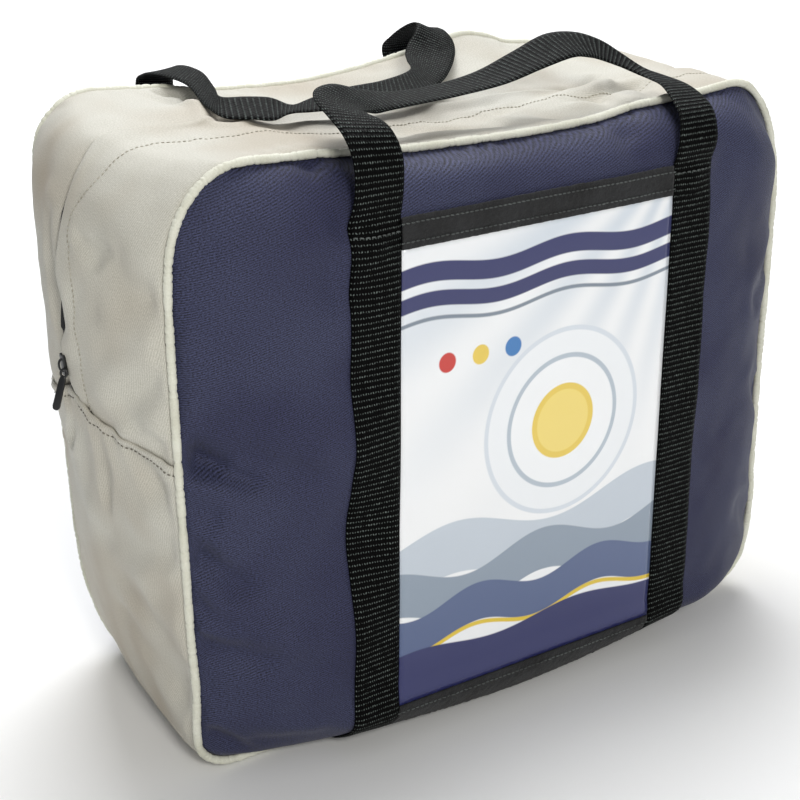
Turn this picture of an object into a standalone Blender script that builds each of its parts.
"""A soft carry bag, standing zipped and full, as a bag maker would cut and sew it.

The bag stands on the floor (z = 0) with its front panel towards -Y. Sizes are millimetres until MM
turns them to metres. Two crowned panels, front and back, are joined by a gusset that runs round
between them. Every seam round a panel holds a piped cord. The gusset is cut in three: a lower piece
for the sides and the bottom, and two upper pieces that meet at the zip over the top.
"""

import math

import bmesh
import bpy
from mathutils import Vector

MM = 0.001

# Driving sizes of the bag, from seam to seam
HALF_WIDTH = 227.0  # middle of the bag to the piped seam at its side
HALF_DEPTH = 88.0  # middle of the gusset to each piped seam
HEIGHT = 365.0  # floor to the top seam, before its waves
CROWN = 35.0  # how far a full panel swells past its seam
CROWN_REACH = 88.0  # from a side seam to where the swollen panel is flat
TUCK = 0.08  # share of the depth by which both seams draw in under the bag
CLOTH = 1.6  # thickness of the coated cloth
PIPING = 2.6  # radius of the piped cord
SEAM_GAP = 3.1  # seam line to the cut edge of the cloth beside the cord
SKIN = 1.5  # outer face of the gusset, outside the seam line
SEAM_HEIGHT = 209.0  # the cross seam at the sides, where it meets the piping
SEAM_RISE = 27.0  # how far the cross seam climbs to the end of the zip
SEAM_SPREAD = 30.0

# Webbing, pocket and zip
WEB_WIDTH = 32.0
WEB_THICK = 1.8
WEB_CENTRES = (-125.0, 111.0)  # left and right leg of each handle
WEB_LIFT = 0.5  # clear air between sewn pieces and the panel under them
SEWN_TOP = 338.0  # the box stitch: above it the webbing is free and is the handle
CARD = (30.0, 320.0)  # bottom and top of the card in its pocket
CARD_THICK = 0.8
TAPE_TOP = 337.0  # top of the binding tape over the pocket's mouth
TRIM_THICK = 1.2
TRIM_SIDE_GAP = 0.5
ZIP_OVERLAP = 3.4  # how far the zip lies under the flap's edge
ZIP_SHOWS = 2.2
FLAP_RAISE = 1.8  # the flap's free edge stands this proud of the gusset

ARC = 3  # steps in half a corner
LOWER_ROWS = 5  # steps up the side, below the cross seam
UPPER_ROWS = 4

# Corner radii, across and up, at the front seam, the middle and the back seam
TOP_LEFT = ((46.0, 56.0), (34.0, 60.0), (34.0, 32.0))
TOP_RIGHT = ((45.0, 82.0), (34.0, 60.0), (34.0, 32.0))
BOTTOM = ((28.0, 24.0), (22.0, 20.0), (14.0, 16.0))

# Middle of a panel, from its bottom seam to its top seam
PANEL_PROFILE = (
    # height, share of the crown, share of the rise towards the bottom corners
    (9.5, 0.00, 0.0),
    (3.4, 0.36, 0.4),
    (6.3, 0.74, 1.0),
    (16.0, 0.93, 0.65),
    (46.0, 0.99, 0.05),
    (90.0, 1.0, 0.0),
    (132.0, 1.0, 0.0),
    (174.0, 1.0, 0.0),
    (216.0, 1.0, 0.0),
    (250.0, 1.0, 0.0),
    (284.0, 1.0, 0.0),
    (314.0, 1.0, 0.0),
    (SEWN_TOP, 0.97, 0.0),
    (351.0, 0.78, 0.0),
    (359.5, 0.45, 0.0),
    (363.5, 0.0, 0.0),
)
BELLY = (-2.0, 205.0, 185.0, 18.2)  # its lowest place, the reach to both corners, and the rise

# Height of the bag's top, a filled bag being as uneven as its filling
TOP_WAVES = (
    # x, front seam, zip, back seam
    (-230.0, 372.0, 371.5, 376.0),
    (-190.0, 372.5, 373.0, 379.0),
    (-150.0, 370.5, 372.0, 376.5),
    (-110.0, 367.5, 366.5, 370.0),
    (-70.0, 364.5, 360.5, 368.0),
    (-30.0, 363.5, 358.5, 367.3),
    (10.0, 362.5, 359.5, 371.5),
    (50.0, 363.5, 361.5, 379.0),
    (95.0, 368.5, 359.5, 385.5),
    (140.0, 370.0, 358.5, 374.5),
    (180.0, 372.5, 359.5, 369.5),
    (230.0, 371.0, 361.5, 367.0),
)

# How far the sides stand out past the half width, a row for each height
SIDES = (
    # height, front seam left, front seam right, middle, back seam
    (0.0, -2.0, -4.0, -12.4, -33.0),
    (25.0, -1.5, -2.0, -10.4, -26.0),
    (60.0, 0.5, -2.0, -1.4, -15.5),
    (100.0, 2.8, -4.0, 8.6, -11.0),
    (170.0, 5.0, -5.0, 16.6, -7.5),
    (225.0, 6.6, -4.5, 25.6, -4.0),
    (280.0, 7.8, -4.5, 28.9, -2.0),
    (330.0, 7.4, -4.5, 27.1, -0.5),
    (375.0, 7.0, -4.5, 25.6, 0.0),
)

# Main creases: soft troughs (depth above 0) and ridges (below 0) along straight lines
CREASES = (
    # start x, y, z, end x, y, z, half width, depth
    (-229.0, -85.0, 205.0, -245.0, -25.0, 226.0, 12.0, 3.0),
    (-226.0, -86.0, 168.0, -246.0, -40.0, 214.0, 13.0, 4.0),
    (-226.0, -86.0, 146.0, -240.0, -20.0, 150.0, 12.0, 3.5),
    (-220.0, -84.0, 62.0, -236.0, -20.0, 104.0, 16.0, 4.5),
    (-246.0, -2.0, 236.0, -238.0, 4.0, 170.0, 9.0, 3.0),
    (-246.0, 40.0, 350.0, -246.0, 44.0, 270.0, 14.0, 4.0),
    (-150.0, 60.0, 384.0, -110.0, 8.0, 368.0, 15.0, 6.0),
    (60.0, -60.0, 364.0, 190.0, -62.0, 362.0, 16.0, 6.0),
    (-70.0, -50.0, 362.0, 10.0, -40.0, 360.0, 16.0, 3.0),
    (-223.0, -92.0, 208.0, -165.0, -122.0, 190.0, 12.0, 4.0),
    (-223.0, -92.0, 150.0, -160.0, -122.0, 105.0, 13.0, 4.0),
    (-221.0, -92.0, 84.0, -170.0, -121.0, 74.0, 12.0, 3.0),
    (-217.0, -95.0, 22.0, -160.0, -120.0, 30.0, 12.0, 3.0),
    (-195.0, -118.0, 210.0, -150.0, -125.0, 150.0, 24.0, 4.0),
    (-160.0, -105.0, 350.0, -146.0, -122.0, 300.0, 12.0, 4.0),
    (70.0, -108.0, 353.0, 88.0, -120.0, 326.0, 11.0, 4.0),
    (223.0, 60.0, 300.0, 250.0, 0.0, 210.0, 16.0, 4.0),
    (220.0, -60.0, 120.0, 240.0, 10.0, 90.0, 18.0, 4.0),
    (190.0, 100.0, 300.0, 150.0, 122.0, 240.0, 16.0, 3.0),
    (-200.0, 100.0, 160.0, -150.0, 122.0, 220.0, 16.0, 3.0),
)

# The free part of each handle, from its left leg to its right leg: the middle of the webbing, and
# the way across it, from the edge that starts on the outside of the left leg
FRONT_HANDLE = (
    # x, y, z, across x, y, z
    (-125.0, -126.0, 354.0, 1.0, 0.0, 0.0),
    (-125.0, -125.0, 372.0, 1.0, -0.03, -0.05),
    (-126.0, -118.0, 384.0, 1.0, -0.1, -0.1),
    (-125.0, -104.0, 390.0, 1.0, -0.25, -0.15),
    (-123.0, -87.0, 393.0, 0.95, -0.3, -0.3),
    (-114.0, -73.0, 393.0, 0.75, -0.55, -0.4),
    (-99.0, -64.0, 391.0, 0.4, -0.78, -0.42),
    (-81.0, -59.0, 387.5, 0.05, -0.95, -0.2),
    (-60.0, -57.0, 385.5, 0.0, -0.99, -0.05),
    (-30.0, -55.0, 385.5, 0.0, -1.0, 0.0),
    (5.0, -54.0, 389.0, 0.0, -0.99, -0.04),
    (35.0, -53.0, 396.5, 0.0, -0.97, -0.14),
    (60.0, -52.0, 402.5, -0.05, -0.93, -0.28),
    (78.0, -53.0, 401.5, -0.35, -0.88, -0.32),
    (92.0, -55.0, 397.0, -0.64, -0.74, -0.2),
    (107.0, -57.0, 389.5, -0.72, -0.69, -0.05),
    (120.0, -62.0, 382.0, -0.8, -0.6, 0.1),
    (125.0, -73.0, 379.0, -0.88, -0.46, 0.12),
    (125.0, -88.0, 377.0, -0.95, -0.28, 0.12),
    (121.0, -105.0, 372.0, -0.99, -0.14, 0.08),
    (117.0, -117.0, 366.0, -0.99, -0.1, 0.04),
    (113.0, -124.0, 357.0, -1.0, -0.03, 0.02),
    (111.0, -126.0, 348.0, -1.0, 0.0, 0.0),
)
BACK_HANDLE = (
    (-125.0, 127.0, 350.0, 1.0, 0.0, 0.0),
    (-120.0, 136.0, 364.0, 0.97, 0.19, -0.17),
    (-123.0, 129.0, 373.5, 0.95, 0.28, -0.13),
    (-127.0, 112.0, 380.5, 0.88, 0.45, -0.04),
    (-130.0, 87.0, 384.5, 0.74, 0.67, 0.04),
    (-132.0, 60.0, 384.5, 0.71, 0.7, 0.06),
    (-141.0, 27.0, 381.0, 0.65, 0.75, 0.11),
    (-146.0, 3.0, 379.5, 0.45, 0.87, 0.17),
    (-134.0, -7.0, 379.5, 0.4, 0.88, 0.2),
    (-121.0, -11.0, 378.0, 0.45, 0.85, 0.2),
    (-106.0, -8.0, 375.5, 0.56, 0.83, -0.07),
    (-88.0, -1.0, 374.5, 0.57, 0.82, 0.05),
    (-63.0, 0.0, 375.5, 0.57, 0.8, 0.19),
    (-35.0, -1.0, 376.5, 0.5, 0.84, 0.21),
    (-6.0, 5.0, 378.0, 0.3, 0.92, 0.26),
    (14.0, 24.0, 379.5, -0.2, 0.94, 0.28),
    (29.0, 41.0, 381.5, -0.6, 0.76, 0.25),
    (42.0, 55.0, 384.5, -0.8, 0.5, 0.32),
    (54.0, 67.0, 388.5, -0.86, 0.2, 0.43),
    (62.0, 80.0, 392.0, -0.87, 0.05, 0.4),
    (64.0, 95.0, 391.5, -0.97, 0.0, 0.15),
    (65.0, 111.0, 385.0, -1.0, 0.0, 0.0),
    (68.0, 126.0, 375.0, -1.0, 0.0, 0.0),
    (78.0, 134.0, 361.0, -1.0, 0.0, 0.0),
    (97.0, 130.0, 348.0, -1.0, 0.0, 0.0),
)
HANDLE_STEPS = 3  # steps between two rows of a handle's table

# From the middle of the gusset to the origin, which is the middle of the box round the whole bag
ORIGIN_SHIFT = (5.4, -6.4)

NAVY = (0.055, 0.06, 0.125)
STONE = (0.66, 0.64, 0.57)
CREAM = (0.72, 0.72, 0.6)
BLACK = (0.012, 0.012, 0.013)
WHITE = (0.78, 0.8, 0.83)


# ---------------------------------------------------------------- small helpers


def lerp(a, b, share):
    return a + (b - a) * share


def smooth(value, start, end):
    """0 before start, 1 after end and a soft S between them."""
    share = min(1.0, max(0.0, (value - start) / (end - start)))
    return share * share * (3.0 - 2.0 * share)


def from_table(table, key, column):
    """The value of a column where the table's first column is key, on a smooth line."""
    if key <= table[0][0]:
        return table[0][column]
    for low, high in zip(table, table[1:]):
        if key <= high[0]:
            return lerp(low[column], high[column], smooth(key, low[0], high[0]))
    return table[-1][column]


def catmull(before, start, end, after, share):
    """A point on the smooth curve through start and end."""
    square, cube = share**2, share**3
    return 0.5 * (
        2 * start
        + (end - before) * share
        + (2 * before - 5 * start + 4 * end - after) * square
        + (3 * start - before - 3 * end + after) * cube
    )


def crease(point):
    """How deep the creases press into the cloth at a point."""
    depth = 0.0
    for row in CREASES:
        start, end = Vector(row[0:3]), Vector(row[3:6])
        along = end - start
        share = min(1.0, max(0.0, (point - start).dot(along) / along.length_squared))
        off = (point - start - along * share).length / row[6]
        depth += row[7] * math.exp(-off * off)
    return depth


# ---------------------------------------------------------------- the bag's form


def through(front, middle, back, t):
    """The value at depth t, from -1 at the front seam to 1 at the back seam."""
    return front * t * (t - 1) / 2 + middle * (1 - t * t) + back * t * (t + 1) / 2


def radii(table, t):
    """Corner radii at depth t, across and up."""
    low, high = (table[0], table[1]) if t < 0 else (table[1], table[2])
    share = 1 + t if t < 0 else t
    return lerp(low[0], high[0], share), lerp(low[1], high[1], share)


def seam_depth(z):
    """Share of the full depth at height z: the bag draws in under itself."""
    return 1.0 - TUCK * (1.0 - smooth(z, 0.0, 70.0))


def seam_line(y):
    """Height of the cross seam on the sides."""
    return SEAM_HEIGHT + SEAM_RISE * math.exp(-((y / SEAM_SPREAD) ** 2))


def spread(*stops):
    """Numbers along a line: each stop after the first is (value, steps to reach it)."""
    values = [stops[0]]
    for value, steps in stops[1:]:
        start = values[-1]
        values += [lerp(start, value, step / steps) for step in range(1, steps + 1)]
    return values


def columns(left, right):
    """Places across the bag. The webbing's edges and middles are always among them."""
    half = WEB_WIDTH / 2
    west, east = WEB_CENTRES
    return spread(
        left, (west - half, 3), (west + half, 2), (east - half, 6), (east + half, 2), (right, 3)
    )


def corner(middle, radii, start, steps):
    """Points round a quarter corner, from the angle start, without the last one."""
    turn = math.pi / 2 / steps
    angles = [start + turn * step for step in range(steps)]
    return [
        (middle[0] + radii[0] * math.cos(a), middle[1] + radii[1] * math.sin(a)) for a in angles
    ]


def base_ring(y):
    """The plain outline of the bag at depth y, anticlockwise from the bottom left, as (x, z)."""
    t = y / HALF_DEPTH
    floor = lerp(SKIN, PIPING + 0.3, smooth(abs(t), 0.7, 1.0))
    west, east = -HALF_WIDTH, HALF_WIDTH
    seam = seam_line(y)
    across, up = radii(BOTTOM, t)
    left, left_up = radii(TOP_LEFT, t)
    right, right_up = radii(TOP_RIGHT, t)
    low = floor + up
    quarter = math.pi / 2
    bottom = columns(west + across, east - across)
    top = columns(west + left, east - right)
    rise = spread(low, (seam, LOWER_ROWS), (HEIGHT - right_up, UPPER_ROWS))
    fall = spread(low, (seam, LOWER_ROWS), (HEIGHT - left_up, UPPER_ROWS))
    ring = [(x, floor) for x in bottom[:-1]]
    ring += corner((east - across, low), (across, up), -quarter, 2 * ARC)
    ring += [(east, z) for z in rise[:-1]]
    ring += corner((east - right, HEIGHT - right_up), (right, right_up), 0.0, 2 * ARC)
    ring += [(x, HEIGHT) for x in reversed(top[1:])]
    ring += corner((west + left, HEIGHT - left_up), (left, left_up), quarter, 2 * ARC)
    ring += [(west, z) for z in reversed(fall[1:])]
    ring += corner((west + across, low), (across, up), 2 * quarter, 2 * ARC)
    return ring


def outward(ring, index):
    """The way out of the bag at one place of a ring, in its plane."""
    before, after = ring[index - 1], ring[(index + 1) % len(ring)]
    way = Vector((after[1] - before[1], before[0] - after[0]))
    return way.normalized()


def ring_at(y, out=0.0):
    """The filled bag's outline at depth y, moved outwards by out: points in space."""
    t = y / HALF_DEPTH
    at_seam = smooth(abs(t), 0.72, 1.0)
    swollen = []
    for x, z in base_ring(y):
        front_column = 1 if x < 0 else 2
        front, middle, back = (from_table(SIDES, z, column) for column in (front_column, 3, 4))
        stand_out = through(front, middle, back, t) * smooth(abs(x), 145.0, 205.0)
        top = through(*(from_table(TOP_WAVES, x, column) for column in (1, 2, 3)), t) - HEIGHT
        belly = 4.0 * at_seam * max(0.0, 1.0 - (x / 190.0) ** 2) * (1.0 - smooth(z, 4.0, 30.0))
        high = z + top * smooth(z, 240.0, 345.0) + belly
        swollen.append((x + math.copysign(1.0, x) * stand_out, high))
    points = []
    for index, (x, z) in enumerate(swollen):
        way = outward(swollen, index)
        level = way.y < -0.999 and z < 8.0
        sunk = 0.0 if level or abs(t) > 0.99 else crease(Vector((x, y, z)))
        move = out - sunk
        points.append(Vector((x + way.x * move, y * seam_depth(z), z + way.y * move)))
    return points


STATIONS = len(base_ring(0.0))
BOTTOM_STEPS = len(columns(-1.0, 1.0)) - 1
RIGHT_SEAM = BOTTOM_STEPS + 2 * ARC + LOWER_ROWS
RIGHT_TOP = RIGHT_SEAM + UPPER_ROWS
LEFT_TOP = RIGHT_TOP + 2 * ARC + BOTTOM_STEPS + 2 * ARC
LEFT_SEAM = LEFT_TOP + UPPER_ROWS


def panel_edges(side):
    """The four cut edges of a panel, inside its piped seam, each from left to right or upwards."""
    ring = ring_at(side * HALF_DEPTH)
    flat = [(point.x, point.z) for point in ring]
    inset = []
    for index, (x, z) in enumerate(flat):
        way = outward(flat, index)
        inset.append((x - way.x * SEAM_GAP, z - way.y * SEAM_GAP))
    inset = inset[-ARC:] + inset[:-ARC]
    wide, tall = BOTTOM_STEPS + 2 * ARC, LOWER_ROWS + UPPER_ROWS + 2 * ARC
    bottom = inset[: wide + 1]
    right = inset[wide : wide + tall + 1]
    top = inset[wide + tall : 2 * wide + tall + 1][::-1]
    left = (inset[2 * wide + tall :] + inset[:1])[::-1]
    return bottom, right, top, left


def panel_grid(side):
    """The outer face of a panel as rows of points, bottom to top. side is -1 for the front."""
    bottom, right, top, left = panel_edges(side)
    wide, tall = len(bottom), len(left)
    outer = columns(left[ARC][0] + 20.0, right[ARC][0] - 20.0)
    places = spread(left[ARC][0], (outer[0], ARC)) + outer[1:]
    places += spread(outer[-1], (right[ARC][0], ARC))[1:]
    foot, head = PANEL_PROFILE[0][0], PANEL_PROFILE[-1][0]
    lowest, left_reach, right_reach, corner_rise = BELLY
    rows = []
    for j in range(tall):
        height, forward, rise = PANEL_PROFILE[j]
        to_bottom = max(0.0, 1.0 - j / 2.0) ** 2
        to_top = max(0.0, 1.0 - (tall - 1 - j) / 3.0)
        row = []
        for i in range(wide):
            to_left = max(0.0, 1.0 - i / (ARC + 3.0)) ** 2
            to_right = max(0.0, 1.0 - (wide - 1 - i) / (ARC + 3.0)) ** 2
            x = places[i]
            reach = left_reach if x < lowest else right_reach
            lift = rise * corner_rise * (abs(x - lowest) / reach) ** 1.7
            lift *= (1.0 - to_left) * (1.0 - to_right)
            plain = Vector((x, height + lift))
            side_pull = (Vector(left[j]) - Vector((places[0], height))) * to_left
            side_pull += (Vector(right[j]) - Vector((places[-1], height))) * to_right
            foot_pull = Vector(bottom[i]) - Vector((x, foot))
            foot_pull -= (Vector(left[0]) - Vector((places[0], foot))) * to_left
            foot_pull -= (Vector(right[0]) - Vector((places[-1], foot))) * to_right
            head_pull = Vector(top[i]) - Vector((x, head))
            head_pull -= (Vector(left[-1]) - Vector((places[0], head))) * to_left
            head_pull -= (Vector(right[-1]) - Vector((places[-1], head))) * to_right
            x, z = plain + side_pull + foot_pull * to_bottom + head_pull * to_top
            if 0 < i < wide - 1 and 0 < j < tall - 1:
                near_side = min(places[i] - places[0], places[-1] - places[i]) / CROWN_REACH
                swell = 1.0 - max(0.0, 1.0 - near_side) ** 2.4
            else:
                swell = 0.0
            seam = HALF_DEPTH * seam_depth(z)
            y = side * lerp(seam, HALF_DEPTH + CROWN, swell * forward)
            point = Vector((x, y, z))
            point.y -= side * (crease(point) if swell else 0.0)
            row.append(point)
        rows.append(row)
    return rows


# ---------------------------------------------------------------- making objects


def material(name, colour, roughness):
    made = bpy.data.materials.new(name)
    made.use_nodes = True
    shader = made.node_tree.nodes["Principled BSDF"]
    shader.inputs["Base Color"].default_value = (*colour, 1.0)
    shader.inputs["Roughness"].default_value = roughness
    made.diffuse_color = (*colour, 1.0)
    return made


def add_mesh(name, mesh, finish):
    made = bpy.data.objects.new(name, mesh)
    mesh.materials.append(finish)
    BAG.objects.link(made)
    mesh.shade_smooth()
    mesh.set_sharp_from_angle(angle=math.radians(50))
    return made


def cloth(name, rows, thickness, finish, side, middle=False):
    """Cloth through rows of points, which are its outer face.

    Its thickness goes inwards, or to both sides where middle is set. side is 1 where the rows and
    the points along them turn anticlockwise as seen from inside the bag, and -1 where clockwise.
    """
    mesh = bpy.data.meshes.new(name)
    grid = bmesh.new()
    corners = [[grid.verts.new(point * MM) for point in row] for row in rows]
    for low, high in zip(corners, corners[1:]):
        for left in range(len(low) - 1):
            face = [low[left], low[left + 1], high[left + 1], high[left]]
            grid.faces.new(face if side > 0 else face[::-1])
    grid.to_mesh(mesh)
    grid.free()
    made = add_mesh(name, mesh, finish)
    solid = made.modifiers.new("Thickness", "SOLIDIFY")
    solid.thickness = thickness * MM
    solid.offset = 0.0 if middle else -1.0
    return made


def piping(name, side, finish):
    """The cord in the seam round one panel."""
    curve = bpy.data.curves.new(name, "CURVE")
    curve.dimensions = "3D"
    curve.bevel_depth = PIPING * MM
    curve.bevel_resolution = 2
    spline = curve.splines.new("POLY")
    line = ring_at(side * HALF_DEPTH)
    spline.points.add(len(line) - 1)
    for place, point in zip(spline.points, line):
        place.co = (*(point * MM), 1.0)
    spline.use_cyclic_u = True
    curve.materials.append(finish)
    made = bpy.data.objects.new(name, curve)
    BAG.objects.link(made)
    return made


def gusset(name, depths, first, last, finish):
    """A strip of the gusset between two stations of the ring. depths are (y, outwards) pairs."""
    rows = []
    for y, out in depths:
        ring = ring_at(y, SKIN + out)
        ring += ring[:1]
        points = ring[first : last + 1] if first < last else ring[first:] + ring[1 : last + 1]
        for end, inner in ((0, 1), (-1, -2)):
            short = (points[inner] - points[end]).normalized()
            points[end] = points[end] + short * 0.3
        rows.append(points)
    return cloth(name, rows, CLOTH, finish, -1)


# ---------------------------------------------------------------- pieces


def face_way(grid, j, i):
    """The way out of a panel's face at one grid point."""
    up = grid[min(j + 1, len(grid) - 1)][i] - grid[max(j - 1, 0)][i]
    along = grid[j][min(i + 1, len(grid[0]) - 1)] - grid[j][max(i - 1, 0)]
    way = along.cross(up).normalized()
    return way if grid[j][i].y < 0 else -way


def leg(grid, first):
    """The sewn part of a webbing on a panel: rows of left edge, middle and right edge."""
    rows = []
    for j in range(1, len(grid)):
        if grid[j][first].z > SEWN_TOP + 1.0:
            break
        lift = WEB_LIFT + WEB_THICK / 2
        rows.append([grid[j][i] + face_way(grid, j, i) * lift for i in (first, first + 1, first + 2)])
    return rows


def handle_rows(table):
    """The free part of a webbing from its table, as rows of three points across it."""
    rows = []
    for x, y, z, across_x, across_y, across_z in table:
        middle = Vector((x, y, z))
        reach = Vector((across_x, across_y, across_z)).normalized() * WEB_WIDTH / 2
        rows.append([middle - reach, middle, middle + reach])
    return rows


def webbing(name, side, table, finish):
    """One length of webbing: up the panel, over as the handle, and down the panel again."""
    grid = panel_grid(side)
    west = ARC + 3
    east = west + 8
    up = leg(grid, west)
    down = [row[::-1] for row in reversed(leg(grid, east))]
    key = [up[-1]] + handle_rows(table) + [down[0]]
    free = []
    for index in range(len(key) - 1):
        before, after = key[max(index - 1, 0)], key[min(index + 2, len(key) - 1)]
        for step in range(1, HANDLE_STEPS + 1):
            share = step / HANDLE_STEPS
            ends = zip(before, key[index], key[index + 1], after)
            free.append([catmull(*four, share) for four in ends])
    return cloth(name, up + free[:-1] + down, WEB_THICK, finish, -side, middle=True)


def on_panel(grid, i, z):
    """The panel's face at height z in one column, above its belly: the point and the way out."""
    above = next(j for j in range(3, len(grid)) if grid[j][i].z >= z)
    low, high = grid[above - 1][i], grid[above][i]
    share = (z - low.z) / (high.z - low.z)
    way = face_way(grid, above - 1, i).lerp(face_way(grid, above, i), share)
    return low.lerp(high, share), way.normalized()


def pocket_piece(name, low, high, thickness, finish):
    """A flat piece on the front panel, between the two legs of the webbing.

    It ends at two heights, or starts at the first row under the belly where low is None.
    """
    grid = panel_grid(-1)
    half = WEB_WIDTH / 2
    left = WEB_CENTRES[0] + half + TRIM_SIDE_GAP
    right = WEB_CENTRES[1] - half - TRIM_SIDE_GAP
    west, east = ARC + 5, ARC + 11
    first = 1 if low is None else 4
    own = [j for j in range(first, len(grid)) if grid[j][west].z < high - 1.0]
    own = [j for j in own if low is None or grid[j][west].z > low + 1.0]
    cuts = [] if low is None else [low]
    rows = []
    for cut in cuts + own + [high]:
        row = []
        for i in range(west, east + 1):
            if isinstance(cut, int):
                point, way = grid[cut][i].copy(), face_way(grid, cut, i)
            else:
                point, way = on_panel(grid, i, cut)
            point += way * (WEB_LIFT + thickness)
            point.x = min(max(point.x, left), right)
            row.append(point)
        rows.append(row)
    return cloth(name, rows, thickness, finish, 1)


def zip_end():
    """Where the zip ends on the left side, and the ways along and out of the zip there."""
    ring = ring_at(0.0, SKIN)
    low, high = ring[LEFT_SEAM], ring[LEFT_SEAM - 1]
    along = (high - low).normalized()
    out = Vector((-along.z, 0.0, along.x)) if along.z > 0 else Vector((along.z, 0.0, -along.x))
    return low, along, out


def bevelled_box(name, size, place, along, out, finish):
    """A small block with rounded edges: size is across, outwards and along the zip."""
    bpy.ops.mesh.primitive_cube_add(size=1.0)
    made = bpy.context.object
    made.name = made.data.name = name
    for owner in made.users_collection:
        owner.objects.unlink(made)
    BAG.objects.link(made)
    made.data.materials.append(finish)
    across = out.cross(along).normalized()
    for vertex in made.data.vertices:
        spot = across * vertex.co.x * size[0] + out * vertex.co.y * size[1]
        vertex.co = (place + spot + along * vertex.co.z * size[2]) * MM
    work = bmesh.new()
    work.from_mesh(made.data)
    bmesh.ops.recalc_face_normals(work, faces=work.faces)
    work.to_mesh(made.data)
    work.free()
    rounded = made.modifiers.new("Rounded", "BEVEL")
    rounded.width = min(size) * 0.3 * MM
    rounded.segments = 2
    return made


def zip_pieces(stone, black):
    """The two upper gussets with the zip between them, its slider and its pull."""
    edge = HALF_DEPTH - SEAM_GAP
    flap = ((-edge, 0.0), (-70.0, 0.0), (-46.0, 0.0), (-22.0, 0.3), (-9.0, 1.2), (0.0, FLAP_RAISE))
    under = ((ZIP_SHOWS + 0.4, -1.2), (15.0, 0.0), (36.0, 0.0), (58.0, 0.0), (74.0, 0.0), (edge, 0.0))
    gusset("zip_gusset_front", flap, RIGHT_SEAM, LEFT_SEAM, stone)
    gusset("zip_gusset_back", under, RIGHT_SEAM, LEFT_SEAM, stone)
    buried = FLAP_RAISE - CLOTH - 0.5
    tape = ((-ZIP_OVERLAP, buried - 0.9), (-0.6, buried), (ZIP_SHOWS, buried - 0.1))
    gusset("zip_chain", tape, RIGHT_SEAM, LEFT_SEAM, black)
    low, along, out = zip_end()
    slider = low + along * 8.0 + out * (buried + 3.7) + Vector((0.0, 2.6, 0.0))
    bevelled_box("zip_slider", (4.2, 2.8, 13.0), slider, along, out, black)
    hang = Vector((-0.36, 0.06, -0.93)).normalized()
    proud = Vector((-0.75, -0.65, 0.1))
    proud = (proud - hang * proud.dot(hang)).normalized()
    pull = slider - along * 4.0 + out * 2.6 + hang * 13.0
    bevelled_box("zip_pull", (4.4, 1.6, 24.0), pull, hang, proud, black)


def build():
    navy = material("Navy coated cloth", NAVY, 0.75)
    stone = material("Stone grey coated cloth", STONE, 0.8)
    cream = material("Piping cloth", CREAM, 0.7)
    black = material("Black webbing", BLACK, 0.6)
    plastic = material("Black zip moulding", BLACK, 0.4)
    card = material("Printed card", WHITE, 0.35)

    cloth("front_panel", panel_grid(-1), CLOTH, navy, 1)
    cloth("back_panel", panel_grid(1), CLOTH, navy, -1)
    piping("front_piping", -1, cream)
    piping("back_piping", 1, cream)
    zip_pieces(stone, plastic)
    edge = HALF_DEPTH - SEAM_GAP
    depths = (-edge, -70.0, -46.0, -22.0, -9.0, 0.0, ZIP_SHOWS + 0.4, 15.0, 36.0, 58.0, 74.0, edge)
    gusset("lower_gusset", [(y, 0.0) for y in depths], LEFT_SEAM, RIGHT_SEAM, stone)
    webbing("front_webbing", -1, FRONT_HANDLE, black)
    webbing("back_webbing", 1, BACK_HANDLE, black)
    pocket_piece("pocket_tape", CARD[1] + 0.5, TAPE_TOP, TRIM_THICK, black)
    pocket_piece("insert_card", CARD[0], CARD[1], CARD_THICK, card)
    pocket_piece("pocket_foot", None, CARD[0] - 0.5, TRIM_THICK, black)

    middle = bpy.data.objects.new("bag_middle", None)
    middle.location = (ORIGIN_SHIFT[0] * MM, ORIGIN_SHIFT[1] * MM, 0.0)
    for piece in BAG.objects:
        piece.parent = middle
    BAG.objects.link(middle)


for old in list(bpy.data.objects):
    bpy.data.objects.remove(old, do_unlink=True)
BAG = bpy.data.collections.new("Carry bag")
bpy.context.scene.collection.children.link(BAG)
build()
